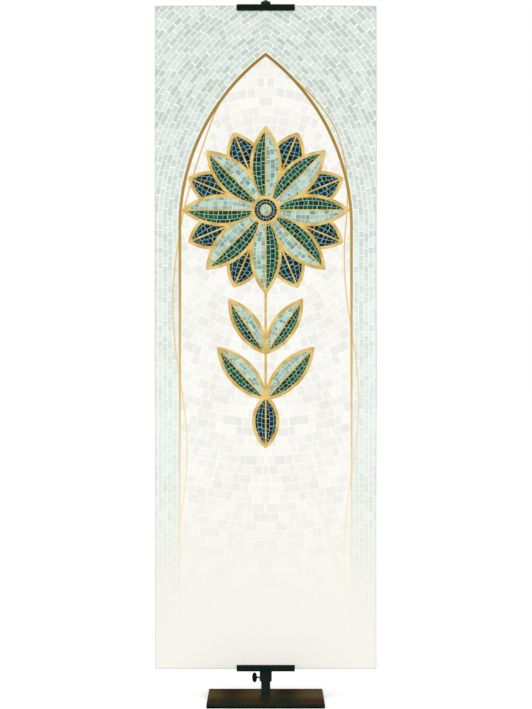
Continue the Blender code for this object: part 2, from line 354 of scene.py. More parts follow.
# Each shape is a pointed oval: where it starts and ends along its own axis, and half its width.
# A leaf has its foot on the stem and its turn up from level. Each kind of shape has row numbers
# of its own, so that its tiles fall as they like.
ovals = {
    "petal": {"firstRow": 500, "start": 0.016, "end": 0.226, "half": 0.0395},
    "backPetal": {"firstRow": 500, "start": 0.050, "end": 0.226, "half": 0.0460},
    "upperLeaf": {
        "firstRow": 300, "foot": 0.868, "turn": 56.0, "start": 0.002, "end": 0.176, "half": 0.030
    },
    "lowerLeaf": {
        "firstRow": 200, "foot": 0.742, "turn": 47.0, "start": 0.002, "end": 0.190, "half": 0.033
    },
    "drop": {
        "firstRow": 400, "foot": 0.612, "turn": 90.0, "start": 0.0, "end": 0.138, "half": 0.033
    },
}
rowStep = 10.0        # row numbers kept for each half of a shape
hubRow = 600
courseRow = 40.5      # at the arch's rim, which cuts the first course in half

# How the tiles of a course vary: its shift, and the waves that stretch its tiles and squeeze them
variety = {"shift": 7.0, "waves": 3.7, "phase": 5.0, "stretch": 0.13}

# Inks as an eye reads them: darkest tile, lightest tile and the joint between tiles
inks = {
    "ground": ((234, 233, 227), (248, 247, 242), (253, 252, 248)),
    "course": ((191, 203, 195), (222, 231, 224), (248, 253, 249)),
    "deepTeal": ((0, 29, 32), (0, 64, 75), (168, 192, 188)),
    "emerald": ((5, 48, 31), (24, 98, 66), (184, 204, 190)),
    "paleTeal": ((122, 152, 138), (190, 218, 204), (222, 232, 222)),
}
inkNumber = {name: number for number, name in enumerate(inks)}
cream = (243, 241, 233)
mist = (243, 249, 243)
backing = (236, 237, 230)
# grey of the painted shade along the cloth's cut edge
paintedRimShade = (204, 208, 204)
goldInk = ((204, 165, 82), (232, 201, 122))

# The two gold lines by height, from the bottom edge of the cloth to its top
straightInk = (
    (0.00, (246, 242, 230)),
    (0.22, (240, 224, 184)),
    (0.42, (220, 188, 116)),
    (0.60, (188, 152, 68)),
    (0.80, (168, 130, 42)),
    (1.00, (150, 112, 34)),
)
waveInk = (
    (0.00, (247, 243, 232)),
    (0.25, (245, 231, 198)),
    (0.50, (236, 208, 146)),
    (0.75, (221, 182, 94)),
    (1.00, (206, 164, 76)),
)


def makeOval():
    # how far a place is outside a pointed oval's rim, and its share of the way out to it
    group, given, leave = newGroup(
        "pointedOval",
        {"Along": "Float", "Across": "Float", "Radius": "Float", "Sink": "Float"},
        {"Edge": "Float", "Share": "Float"},
    )
    across = abs(given["Across"])
    lowered = across + given["Sink"]
    square = given["Along"] * given["Along"]
    edge = distance(lowered, given["Along"])
    reach = calc("SQRT", given["Radius"] * given["Radius"] - square) - given["Sink"]
    leastReach = 0.0005
    feed(group, leave.inputs["Edge"], edge - given["Radius"])
    feed(group, leave.inputs["Share"], across / calc("MAXIMUM", reach, leastReach))
    return group


def makeTiles():
    # courses of tiles: the joints between them, and a tone for each tile
    group, given, leave = newGroup(
        "tileCourses",
        {
            "Along": "Float",
            "Across": "Float",
            "Length": "Float",
            "Depth": "Float",
            "Half Joint": "Float",
        },
        {"Joint": "Float", "Tone": "Float"},
    )
    # each course starts somewhere else, and its tiles are longer and shorter in turn
    row = calc("FLOOR", given["Across"])
    shift = addNode(group, "ShaderNodeTexWhiteNoise", {"W": row}, noise_dimensions="1D")
    rowShift = Num(group, shift.outputs["Value"]) * variety["shift"]
    wave = calc("SINE", given["Along"] * variety["waves"] + rowShift * variety["phase"])
    along = given["Along"] + rowShift + wave * variety["stretch"]
    tileNumber = {"Vector": combine(group, calc("FLOOR", along), row)}
    tone = addNode(group, "ShaderNodeTexWhiteNoise", tileNumber, noise_dimensions="2D")
    fromEnd = calc("PINGPONG", along, 0.5) * given["Length"]
    fromSide = calc("PINGPONG", given["Across"], 0.5) * given["Depth"]
    past = calc("MINIMUM", fromEnd, fromSide) - given["Half Joint"]
    feed(group, leave.inputs["Joint"], past.under(0.0, design["jointSoft"]))
    feed(group, leave.inputs["Tone"], tone.outputs["Value"])
    return group


class Layers:
    # the print as it builds up: each shape lies over what is there
    def __init__(self, tree, cell, ground):
        self.tree = tree
        self.cell = cell
        self.ground = ground      # 1 where the ground still shows
        self.gold = 0.0

    def lay(self, inside, along, across, ink, outline):
        cell = combine(self.tree, along, across, ink)
        self.cell = mix(self.tree, "VECTOR", inside, self.cell, cell)
        self.ground = calc("SUBTRACT", self.ground, inside, clamp=True)
        kept = calc("SUBTRACT", self.gold, inside, clamp=True)
        self.gold = calc("MAXIMUM", kept, outline)


def makeBannerPrint():
    tree, given, leave = newGroup(
        "bannerPrint", {"Across": "Float", "Up": "Float"}, {"Colour": "Color"}
    )
    oval, tiles = makeOval(), makeTiles()
    x, y = given["Across"], given["Up"]
    side = abs(x)

    def fade(name):
        return smooth(y, *fades[name])

    spot = combine(tree, x, y)
    wander = noise(tree, spot, *design["waverNoise"], dimensions="2D", output="Color")
    driftX, driftY = [(part - 0.5) * design["waver"] for part in split(tree, wander)[:2]]

    # Arch: how far outside it a place is, and how far along its rim
    radius = design["archHalf"] + design["archReach"]
    rise = calc("MAXIMUM", y - design["archSpring"], 0.0)
    run = side + design["archReach"]
    outside = distance(run, rise) - radius
    upright = calc("MINIMUM", y, design["archSpring"])
    rimWay = calc("MULTIPLY_ADD", calc("ARCTAN2", rise, run), radius, upright)
    inCourses = calc("GREATER_THAN", outside, 0.0)
    courseCell = combine(
        tree,
        (rimWay + driftX) / design["courseTile"],
        (outside + driftY) / design["courseDepth"] + courseRow,
        inkNumber["course"],
    )

    # Ground: rings of faint tiles round the flower's middle
    rising = y - design["flowerUp"]
    away = distance(side, rising)
    ring = (away + driftY) / design["groundTile"]
    turned = calc("ARCTAN2", side, rising * -1.0)
    ringWay = turned * (calc("FLOOR", ring) + 0.5)
    groundCell = combine(tree, ringWay, ring, inkNumber["ground"])
    layers = Layers(tree, mix(tree, "VECTOR", inCourses, groundCell, courseCell), 1.0)

    # Gold lines that follow the arch and weave across it
    onRight = calc("GREATER_THAN", x, 0.0)
    tipWay = design["archSpring"] + radius * math.acos(design["archReach"] / radius)
    settled = smooth(rimWay, *[tipWay - below for below in design["waveFade"]])
    swing = (1.0 - settled) * design["waveSwing"]
    waveTurn = rimWay * (2 * math.pi / design["waveLength"]) + onRight * design["waveShift"]
    weave = calc("SINE", waveTurn) * swing
    lineHalf = fade("lineWidth") * (design["lineHalf"] - design["lineTip"])
    straightLine = (abs(outside) - lineHalf).under(design["lineTip"], design["lineSoft"])
    waveLine = abs(outside - weave).under(design["waveHalf"], design["lineSoft"])

    # Stem
    between = y.under(design["stemTop"]) * y.over(design["stemFoot"])
    layers.gold = side.under(design["stemHalf"]) * between

    def layOval(sizes, along, across, ink, rowNumber):
        middle = (sizes["start"] + sizes["end"]) / 2
        length = (sizes["end"] - sizes["start"]) / 2
        curve = (length**2 + sizes["half"] ** 2) / (2 * sizes["half"])
        values = {"Along": along - middle, "Across": across}
        values |= {"Radius": curve, "Sink": curve - sizes["half"]}
        shape = useGroup(tree, oval, values)
        inside = calc("LESS_THAN", shape["Edge"], 0.0)
        rim = abs(shape["Edge"]).under(design["outlineHalf"])
        rib = abs(across).under(design["ribHalf"]) * inside
        row = shape["Share"] * design["rows"] + rowNumber
        layers.lay(inside, along / design["motifTile"], row, ink, calc("MAXIMUM", rim, rib))

    def layLeaf(sizes, bothHalves=True):
        turn = math.radians(sizes["turn"])
        high = y - sizes["foot"]
        along = side * math.cos(turn) + high * math.sin(turn)
        across = high * math.cos(turn) - side * math.sin(turn)
        upper = calc("GREATER_THAN", across, 0.0)
        ink = upper + inkNumber["emerald"] if bothHalves else inkNumber["deepTeal"]
        rowNumber = onRight * (2 * rowStep) + upper * rowStep + sizes["firstRow"]
        layOval(sizes, along, across, ink, rowNumber)

    layLeaf(ovals["lowerLeaf"])
    layLeaf(ovals["upperLeaf"])
    layLeaf(ovals["drop"], bothHalves=False)

    # Flower: eight petals, each half dark and half pale, over eight deep ones between them
    step = 2 * math.pi / design["petals"]
    direction = calc("ARCTAN2", x, rising)
    for name, start, ink in (("backPetal", step / 2, "deepTeal"), ("petal", 0.0, "emerald")):
        number = calc("ROUND", (direction - start) / step)
        bearing = direction - start - number * step
        along = away * calc("COSINE", bearing)
        across = away * calc("SINE", bearing)
        right = calc("GREATER_THAN", across, 0.0)
        shade = right + inkNumber[ink] if ink == "emerald" else inkNumber[ink]
        rowNumber = number * (2 * rowStep) + right * rowStep + ovals[name]["firstRow"]
        layOval(ovals[name], along, across, shade, rowNumber)

    hubRing = away / (design["hub"] / design["rows"]) + hubRow
    hubRim = abs(away - design["hub"]).under(design["outlineHalf"])
    eyeRim = abs(away - design["eye"]).under(design["ribHalf"])
    rims = calc("MAXIMUM", hubRim, eyeRim)
    inHub = calc("LESS_THAN", away, design["hub"])
    eye = calc("LESS_THAN", away, design["eye"])
    eyeInk = eye * (inkNumber["paleTeal"] - inkNumber["deepTeal"]) + inkNumber["deepTeal"]
    layers.lay(inHub, direction * design["hubTiles"], hubRing, eyeInk, rims)

    # Tiles: one set of courses serves them all
    alongCell, acrossCell, ink = split(tree, layers.cell)
    motif = calc("SUBTRACT", 1.0, layers.ground)

    def tileSize(inGround, inCourse, inMotif):
        around = mix(tree, "FLOAT", inCourses, design[inGround], design[inCourse])
        return mix(tree, "FLOAT", motif, around, design[inMotif])

    laid = useGroup(
        tree,
        tiles,
        {
            "Along": alongCell,
            "Across": acrossCell,
            "Length": tileSize("groundTile", "courseTile", "motifTile"),
            "Depth": tileSize("groundTile", "courseDepth", "motifTile"),
            "Half Joint": tileSize("groundJoint", "courseJoint", "motifJoint"),
        },
    )
    inkShare = (ink + 0.5) / len(inks)

    def inkTone(kind):
        stops = [(i / len(inks), srgb(*tones[kind])) for i, tones in enumerate(inks.values())]
        return ramp(tree, inkShare, stops, steps=True)

    tile = blend(tree, laid["Tone"], inkTone(0), inkTone(1))
    colour = blend(tree, laid["Joint"], tile, inkTone(2))

    # The ground fades to plain cream towards the bottom, and its courses are strongest on top
    courseShare = fade("lowCourses") * lowCourseShare + fade("highCourses") * (1 - lowCourseShare)
    share = mix(tree, "FLOAT", inCourses, fade("ground"), courseShare)
    shown = calc("MAXIMUM", share, motif)
    plain = blend(tree, inCourses * fade("mist"), cream, mist)
    colour = blend(tree, shown, plain, colour)

    for line, tones in ((waveLine, waveInk), (straightLine, straightInk)):
        tone = ramp(tree, y / cloth["height"], [(place, srgb(*stop)) for place, stop in tones])
        colour = blend(tree, line * fade("goldLines") * layers.ground, colour, tone)
    shimmer = noise(tree, spot, *design["shimmerNoise"], dimensions="2D")
    gold = blend(tree, smooth(shimmer, *design["shimmerRange"]), *goldInk)
    colour = blend(tree, layers.gold, colour, gold)

    # A fine grey line all round the cut edge: painted shade along the rim
    fromEnd = calc("MINIMUM", y, cloth["height"] - y)
    fromEdge = calc("MINIMUM", cloth["width"] / 2 - side, fromEnd)
    colour = blend(tree, fromEdge.under(design["rim"], design["rimSoft"]), colour, paintedRimShade)
    feed(tree, leave.inputs["Colour"], colour)
    return tree


def makePrintedCloth():
    finish, tree, shader = newFinish(
        "printedCloth",
        {
            "Roughness": 0.82,
            "Specular IOR Level": 0.06,
            "Sheen Weight": 0.03,
            "Sheen Roughness": 0.45,
        },
    )
    uv = addNode(tree, "ShaderNodeUVMap", {}, uv_map="clothMap")
    across, up, _ = split(tree, uv.outputs[0])
    across = across * cloth["height"] - cloth["width"] / 2
    up = up * cloth["height"]
    printed = useGroup(tree, makeBannerPrint(), {"Across": across, "Up": up})["Colour"]

    side = addNode(tree, "ShaderNodeAttribute", {}, attribute_name="printSide")
    behind = blend(tree, cloth["showThrough"], backing, printed)
    colour = blend(tree, side.outputs["Fac"], behind, printed)

    # Plain weave: threads over and under each other
    threads = math.pi / cloth["weavePitch"]
    weave = calc("SINE", across * threads) * calc("SINE", up * threads)
    whiteness = {0: colour, "Scale": abs(weave) * cloth["weaveShade"] + cloth["white"]}
    white = addNode(tree, "ShaderNodeVectorMath", whiteness, operation="SCALE")
    feed(tree, shader.inputs["Base Color"], white.outputs[0])
    addBump(tree, shader, weave, *cloth["weaveBump"])
    return finish


# Finishes of the stand and of the hem thread. Each look has its inks as an eye reads them, the
# scales of its grain and dust, what it adds to the roughness for each, and its bump's depth and
# strength.

def startSurface(tree, look):
    place, facing = ownCoordinates(tree)
    surface = useGroup(tree, grain, {"Place": place, "Scale": look["grain"]})
    lying = useGroup(tree, dust, {"Place": place, "Facing": facing, "Scale": look["dust"]})
    return place, facing, surface, lying["Dust"]


def endSurface(tree, shader, look, colour, surface, lying, worn=None):
    dusty = blend(tree, lying * look["dustShare"], colour, look["dustInk"])
    rough = surface["Tone"] * look["grainRough"]
    if worn:
        rough = rough + worn * look["wornRough"]
    feed(tree, shader.inputs["Base Color"], dusty)
    feed(tree, shader.inputs["Roughness"], rough + lying * look["dustRough"] + look["rough"])
    addBump(tree, shader, surface["Height"], *look["bump"])


def wornEdges(tree, look, place, middle, halfSize):
    box = {"Place": place, "Middle": middle, "Half Size": halfSize, "Width": look["wearWidth"]}
    return useGroup(tree, edgeWear, box)["Wear"]


standPaint = {
    "strips": ((7, 23, 14), (14, 32, 23)),     # darkest and lightest paint
    # a lighter copy of the paint for the round pieces: painted light that lifts their shade
    "tubesPaintedLighter": ((22, 36, 29), (32, 47, 39)),
    "rubbedInk": (74, 80, 74),
    "rubbedShare": 0.40,
    "wearWidth": 0.0011,
    "grain": 900.0,
    "dust": 30.0,
    "dustInk": (150, 148, 140),
    "dustShare": 0.02,
    "rough": 0.34,
    "grainRough": 0.16,
    "wornRough": -0.10,
    "dustRough": 0.18,
    "bump": (0.00004, 0.6),
}


def makeStandPaint(name, middle, halfSize, isRound=False):
    # satin black paint with a faint green cast, rubbed along the edges of one piece; a round piece
    # takes a lighter copy of it, painted light against its shade
    look = standPaint
    finish, tree, shader = newFinish(name, {"Specular IOR Level": 0.05})
    place, _, surface, lying = startSurface(tree, look)
    if isRound:
        x, y, z = split(tree, place)
        place = combine(tree, distance(x, y), 0.0, z)
    worn = wornEdges(tree, look, place, middle, halfSize)
    base = blend(tree, surface["Tone"], *look["tubesPaintedLighter" if isRound else "strips"])
    rubbed = blend(tree, worn * look["rubbedShare"], base, look["rubbedInk"])
    endSurface(tree, shader, look, rubbed, surface, lying, worn)
    return finish


platePaintAndReflection = {
    # the reflection painted on the top: olive at the back, reddish in the middle, darker in its
    # clouds
    "back": (95, 80, 45),
    "middle": (61, 32, 23),
    "shade": (55, 45, 30),
    "front": (23, 37, 29),
    "side": (27, 36, 27),
    # the painted contact shadow along the foot of the side
    "foot": (3, 8, 5),
    "rear": (30, 22, 15),
    "mottle": (28, 24, 17),
    "mottleShare": 0.22,
    "rubbedInk": (96, 88, 70),
    "rubbedShare": 0.08,
    "wearWidth": 0.0020,
    "glossTint": (0.85, 0.60, 0.45, 1.0),
    "gloss": 0.10,
    "grain": 600.0,
    "dust": 22.0,
    "dustInk": (150, 144, 132),
    "dustShare": 0.01,
    "rough": 0.08,
    "grainRough": 0.06,
    "dustRough": 0.08,
    "bump": (0.00001, 0.4),
    # below this height the side carries a painted contact shadow
    "footHeight": 0.0046,            # the side is darkest below this
    "footSoft": 0.0006,
    "facesUp": (0.3, 0.9),
    "drift": 0.05,                   # how far the zones wander forwards and back
    "driftNoise": (16.0, 3.0, 0.55),
    "toBack": (-0.080, 0.040),       # where the middle's ink turns into the back's
    "toFront": (-0.145, -0.105),     # where the front's ink ends
    "toRear": (0.010, 0.002),        # the dark line along the rear edge, from that edge
    "rearShare": 0.7,
    "rearDull": 0.6,
}

# Darker clouds in the top's painted reflection: each cloud's middle, reach and strength, and where
# it turns green
plateClouds = (
    (-0.097, 0.040, 0.85, -0.110, 0.045),
    (-0.045, 0.050, 0.34, -0.110, 0.045),
    (0.056, 0.048, 1.00, -0.090, 0.070),
)
# a painted reflection of the pole on the plate's top: its middle, reach and strength
poleReflectionPainted = (0.0, 0.0175, 0.85)      # the soft streak in front of the pole, which is all green
poleReflectionPaintedEnd = (-0.030, 0.030)


def makePlatePaintAndReflection(middle, halfSize):
    # glossy green black paint, with a reflection painted on its top: olive at the back, reddish in
    # the middle, giving way to the green black in front
    look = platePaintAndReflection
    settings = {"Specular IOR Level": 0.0, "Specular Tint": look["glossTint"]}
    finish, tree, shader = newFinish("platePaintAndReflection", settings)
    place, facing, surface, lying = startSurface(tree, look)
    worn = wornEdges(tree, look, place, middle, halfSize)
    across, depth, height = split(tree, place)
    rearEdge = smooth(depth, *[halfSize[1] - inwards for inwards in look["toRear"]])
    depth = depth + (noise(tree, place, *look["driftNoise"]) - 0.5) * look["drift"]

    def before(low, high):
        return 1.0 - smooth(depth, low, high)

    def cloud(spot, reach, strength):
        off = (across - spot) / reach
        return calc("EXPONENT", off * off * -1.0) * strength

    # The pole's painted reflection lies on the top in front of it, in the green paint
    poleReflectionStreak = cloud(*poleReflectionPainted) * before(*poleReflectionPaintedEnd)
    green = calc("MAXIMUM", poleReflectionStreak, before(*look["toFront"]))
    clouded = 0.0
    for spot, reach, strength, low, high in plateClouds:
        darker = cloud(spot, reach, strength)
        clouded = darker + clouded
        green = calc("MAXIMUM", green, darker * before(low, high))
    clouded = calc("MINIMUM", clouded, 1.0)
    # The top's painted reflection, darker in the clouds, gives way to the green paint in front
    top = blend(tree, smooth(depth, *look["toBack"]), look["middle"], look["back"])
    top = blend(tree, clouded, top, look["shade"])
    top = blend(tree, rearEdge * look["rearShare"], top, look["rear"])
    top = blend(tree, green, top, look["front"])
    up = smooth(split(tree, facing)[2], *look["facesUp"])
    # A painted contact shadow darkens the foot of the side, and keeps the rubbed wear off it
    aboveFootShadow = height.over(look["footHeight"], look["footSoft"])
    side = blend(tree, aboveFootShadow, look["foot"], look["side"])
    colour = blend(tree, up, side, top)
    colour = blend(tree, surface["Tone"] * look["mottleShare"], colour, look["mottle"])
    colour = blend(tree, worn * aboveFootShadow * look["rubbedShare"], colour, look["rubbedInk"])
    glossy = (1.0 - calc("MAXIMUM", green, clouded)) * (1.0 - rearEdge * look["rearDull"])
    feed(tree, shader.inputs["Metallic"], glossy * up * look["gloss"])
    endSurface(tree, shader, look, colour, surface, lying)
    return finish


screwSteel = {
    "dark": (22, 30, 25),
    "light": (46, 54, 48),
    "oilNoise": (420.0, 4.0, 0.6),
    "grain": 1400.0,
    "rough": 0.24,
    "grainRough": 0.22,
    "bump": (0.00003, 0.5),
}


def makeScrewSteel():
    # blackened steel, lightly oiled
    look = screwSteel
    finish, tree, shader = newFinish("screwSteel", {"Metallic": 1.0})
    place, _ = ownCoordinates(tree)
    surface = useGroup(tree, grain, {"Place": place, "Scale": look["grain"]})
    oiled = noise(tree, place, *look["oilNoise"])
    feed(tree, shader.inputs["Base Color"], blend(tree, oiled, look["dark"], look["light"]))
    feed(tree, shader.inputs["Roughness"], surface["Tone"] * look["grainRough"] + look["rough"])
    addBump(tree, shader, surface["Height"], *look["bump"])
    return finish


wingPlastic = {
    "dark": (12, 22, 16),
    "light": (22, 33, 26),
    "grain": 1300.0,
    "dust": 90.0,
    "dustInk": (140, 140, 132),
    "dustShare": 0.02,
    "rough": 0.38,
    "grainRough": 0.18,
    "dustRough": 0.15,
    "bump": (0.00005, 0.7),
}


def makeWingPlastic():
    look = wingPlastic
    finish, tree, shader = newFinish("wingPlastic", {"Specular IOR Level": 0.10})
    _, _, surface, lying = startSurface(tree, look)
    colour = blend(tree, surface["Tone"], look["dark"], look["light"])
    endSurface(tree, shader, look, colour, surface, lying)
    return finish


hemThread = {
    "dark": (216, 215, 206),
    "light": (243, 242, 236),
    "twist": 1500.0,
    "bump": (0.00003, 0.8),
}


def makeHemThread():
    look = hemThread
    finish, tree, shader = newFinish("hemThread", {"Roughness": 0.7, "Sheen Weight": 0.2})
    values = {"Vector": ownCoordinates(tree)[0], "Scale": look["twist"]}
    twist = addNode(tree, "ShaderNodeTexWave", values, bands_direction="DIAGONAL").outputs["Fac"]
    feed(tree, shader.inputs["Base Color"], blend(tree, twist, look["dark"], look["light"]))
    addBump(tree, shader, twist, *look["bump"])
    return finish


# Helpers for meshes

def meshFrom(name, bm):
    mesh = bpy.data.meshes.new(name)
    bm.to_mesh(mesh)
    bm.free()
    return mesh


def addObject(name, data):
    made = bpy.data.objects.new(name, data)
    scene.collection.objects.link(made)
    return made


def newPiece(name, bm, finish, body, stands=(), smoothAngle=40):
    mesh = meshFrom(name, bm)
    mesh.materials.append(finish)
    mesh.shade_smooth()
    mesh.set_sharp_from_angle(angle=math.radians(smoothAngle))
    piece = addObject(name, mesh)
    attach(piece, body)
    if stands:
        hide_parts(*stands)
    print("made", name, len(mesh.polygons), "faces")
    return piece


def bevelEdges(bm, edges, offset, segments):
    bmesh.ops.bevel(
        bm, geom=edges, offset=offset, segments=segments, profile=0.5, affect="EDGES", material=-1
    )


def boxMesh(low, high):
    bm = bmesh.new()
    bmesh.ops.create_cube(bm, size=1.0)
    low, high = Vector(low), Vector(high)
    bmesh.ops.scale(bm, vec=high - low, verts=bm.verts)
    bmesh.ops.translate(bm, vec=(low + high) / 2, verts=bm.verts)
    return bm


def turnedMesh(profile, steps, isRing):
    # a profile of (radius, height) spun round Z: a closed ring, or ends on the axis
    bm = bmesh.new()
    verts = [bm.verts.new((radius, 0.0, height)) for radius, height in profile]
    edges = [bm.edges.new(pair) for pair in zip(verts, verts[1:])]
    if isRing:
        edges.append(bm.edges.new((verts[-1], verts[0])))
    bmesh.ops.spin(
        bm,
        geom=verts + edges,
        axis=(0, 0, 1),
        cent=(0, 0, 0),
        angle=2 * math.pi,
        steps=steps,
        use_merge=True,
    )
    bmesh.ops.remove_doubles(bm, verts=bm.verts, dist=1e-6)
    bmesh.ops.recalc_face_normals(bm, faces=bm.faces)
    return bm


def roundedCorner(centre, radius, startTurn, endTurn, steps):
    # points of an arc in a profile, its turns in degrees
    turns = [math.radians(startTurn + (endTurn - startTurn) * i / steps) for i in range(steps + 1)]
    return [(centre[0] + radius * math.cos(t), centre[1] + radius * math.sin(t)) for t in turns]


def withTool(bm, tool, operation):
    # this mesh joined with the tool's, or cut by it
    for part in (bm, tool):
        bmesh.ops.recalc_face_normals(part, faces=part.faces)
    kept = addObject("kept", meshFrom("kept", bm))
    other = addObject("other", meshFrom("other", tool))
    change = kept.modifiers.new("change", "BOOLEAN")
    change.operation = operation
    change.solver = "EXACT"
    change.object = other
    bpy.context.view_layer.update()
    evaluated = kept.evaluated_get(bpy.context.evaluated_depsgraph_get())
    result = bmesh.new()
    result.from_mesh(evaluated.to_mesh())
    bpy.data.objects.remove(kept)
    bpy.data.objects.remove(other)
    return result


# The cloth, on the folds of its solid

channelLow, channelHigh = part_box("upper_channel")
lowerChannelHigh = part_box("lower_channel")[1]
clothLow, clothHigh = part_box("banner_cloth")
channelWall = 0.0020
cloth["width"] = clothHigh.x - clothLow.x
cloth["bottom"] = clothLow.z
cloth["top"] = clothHigh.z
cloth["front"] = channelHigh.y - channelWall - touchGap - cloth["hemFolded"]

# One soft fold a row: x and z of its middle, half widths across and along, how far it leans
# sideways for each metre of height, and how far it stands proud of the flat cloth
folds = (
    (-0.215, 1.640, 0.050, 0.200, -0.28, 0.0042),
    (-0.125, 1.360, 0.042, 0.300, -0.12, -0.0032),
    (0.135, 1.560, 0.048, 0.260, 0.16, 0.0036),
    (0.225, 1.180, 0.052, 0.280, 0.08, -0.0040),
    (-0.235, 0.980, 0.050, 0.260, 0.05, -0.0044),
    (-0.030, 1.050, 0.070, 0.420, 0.02, 0.0030),
    (0.115, 0.620, 0.050, 0.250, -0.14, -0.0030),
    (-0.145, 0.520, 0.050, 0.240, 0.20, 0.0040),
    (0.230, 0.420, 0.048, 0.200, -0.22, 0.0038),
)

# How far the free side edges curl forwards: a height, and there the left edge and the right one
curls = (
    (0.090, -0.0060, -0.0040),
    (0.420, 0.0050, -0.0030),
    (0.860, -0.0030, 0.0055),
    (1.270, 0.0045, -0.0040),
    (1.640, -0.0025, 0.0030),
    (1.915, -0.0070, -0.0085),
)

hem = {
    "stitchIn": 0.0098,       # stitch line from a side edge
    "endStitchIn": 0.0335,    # stitch line from the top or bottom edge
    "sideEnds": 0.004,        # where a side's stitches stop, from the top and bottom edges
    "crossEnds": 0.002,       # the same for the stitches across, from the side edges
    "pitch": 0.0034,
    "length": 0.0025,
    "thread": 0.00021,
    "flatness": 0.9,          # a stitch's depth for its thickness
    "proud": 0.25,            # how far its middle is off the cloth, for its thickness
    "pucker": 0.00022,
    "puckerLength": 0.0170,
    "puckerReach": 0.009,
    "puckerRise": 4,          # how fast the puckers come in beside a channel
    "puckerSway": 2.2,        # how unevenly the puckers follow each other, and how often
    "swayTurns": 37.0,
}


def smoothStep(value):
    value = min(max(value, 0.0), 1.0)
    return value * value * (3 - 2 * value)


def heldShare(x, z):
    # 0 inside a channel's grip, rising to 1 where the cloth is free
    beside = max(0.0, abs(x) - channelHigh.x)
    belowUpper = max(0.0, channelLow.z - z)
    aboveLower = max(0.0, z - lowerChannelHigh.z)
    return smoothStep(math.hypot(beside, min(belowUpper, aboveLower)) / cloth["freeLength"])


def edgeCurl(x, z):
    share = max(0.0, abs(x) - cloth["curlStart"]) / (cloth["width"] / 2 - cloth["curlStart"])
    hand = 1 if x < 0 else 2
    for lower, upper in zip(curls, curls[1:]):
        if z <= upper[0]:
            break
    rise = smoothStep((z - lower[0]) / (upper[0] - lower[0]))
    return (lower[hand] + (upper[hand] - lower[hand]) * rise) * share**2


def hemPucker(x, z):
    # the thread draws the hem in by a hair's breadth between its stitches
    fromSide = abs(cloth["width"] / 2 - abs(x) - hem["stitchIn"])
    fromEnd = abs(min(z - cloth["bottom"], cloth["top"] - z) - hem["endStitchIn"])
    way = z if fromSide < fromEnd else x
    near = max(0.0, 1 - min(fromSide, fromEnd) / hem["puckerReach"])
    sway = hem["puckerSway"] * math.sin(way * hem["swayTurns"])
    wave = math.sin(2 * math.pi * way / hem["puckerLength"] + sway)
    return hem["pucker"] * near * near * (wave - 1.0)


def relief(x, z):
    proud = edgeCurl(x, z)
    for middleX, middleZ, halfWidth, halfHeight, lean, depth in folds:
        across = (x - middleX - lean * (z - middleZ)) / halfWidth
        along = (z - middleZ) / halfHeight
        proud += depth * math.exp(-(across**2) - along**2)
    return proud * heldShare(x, z)


def frontSkin(x, z):
    free = min(1.0, heldShare(x, z) * hem["puckerRise"])
    return cloth["front"] - relief(x, z) - hemPucker(x, z) * free


def clothDepth(x, z):
    pastSide = cloth["width"] / 2 - abs(x) - cloth["sideHem"]
    pastEnd = min(z - cloth["bottom"], cloth["top"] - z) - cloth["endHem"]
    inHem = min(pastSide, pastEnd) < cloth["hemStep"] / 2
    return cloth["hemFolded"] if inHem else cloth["thickness"]


def stations(lines, pitch):
    # places on every line, and evenly between them, no more than the pitch apart
    found = [lines[0]]
    for start, end in zip(lines, lines[1:]):
        cells = max(1, math.ceil((end - start) / pitch - 1e-6))
        found += [start + (end - start) * i / cells for i in range(1, cells + 1)]
    return found


def makeCloth(finish):
    half = cloth["width"] / 2
    inner = half - cloth["sideHem"]
    across = [-half, -inner, -inner + cloth["hemStep"], inner - cloth["hemStep"], inner, half]
    hemLow, hemHigh = cloth["bottom"] + cloth["endHem"], cloth["top"] - cloth["endHem"]
    along = [cloth["bottom"], hemLow, hemLow + cloth["hemStep"]]
    along += [hemHigh - cloth["hemStep"], hemHigh, cloth["top"]]
    columns, rows = stations(across, cloth["cell"]), stations(along, cloth["cell"])
    bm = bmesh.new()
    printSide = bm.verts.layers.float.new("printSide")
    bmesh.ops.create_grid(bm, x_segments=len(columns) - 1, y_segments=len(rows) - 1, size=0.5)
    for vert in bm.verts:
        x = columns[round((vert.co.x + 0.5) * (len(columns) - 1))]
        z = rows[round((vert.co.y + 0.5) * (len(rows) - 1))]
        vert.co = (x, frontSkin(x, z), z)
        vert[printSide] = 1.0
    copied = bmesh.ops.duplicate(bm, geom=bm.verts[:] + bm.edges[:] + bm.faces[:])["geom"]
    back = [part for part in copied if isinstance(part, bmesh.types.BMVert)]
    for vert in back:
        vert.co.y += clothDepth(vert.co.x, vert.co.z)
        vert[printSide] = 0.0
    rim = [edge for edge in bm.edges if edge.is_boundary]
    bmesh.ops.bridge_loops(bm, edges=rim)
    bmesh.ops.recalc_face_normals(bm, faces=bm.faces)
    bevelEdges(bm, rim, cloth["rimRadius"], 3)
    place = bm.loops.layers.uv.new("clothMap")
    for face in bm.faces:
        for loop in face.loops:
            x, _, z = loop.vert.co
            loop[place].uv = Vector((x + half, z - cloth["bottom"])) / cloth["height"]
    return newPiece(
        "hemmed_cloth", bm, finish, "stand", ["banner_cloth"], smoothAngle=50
    )


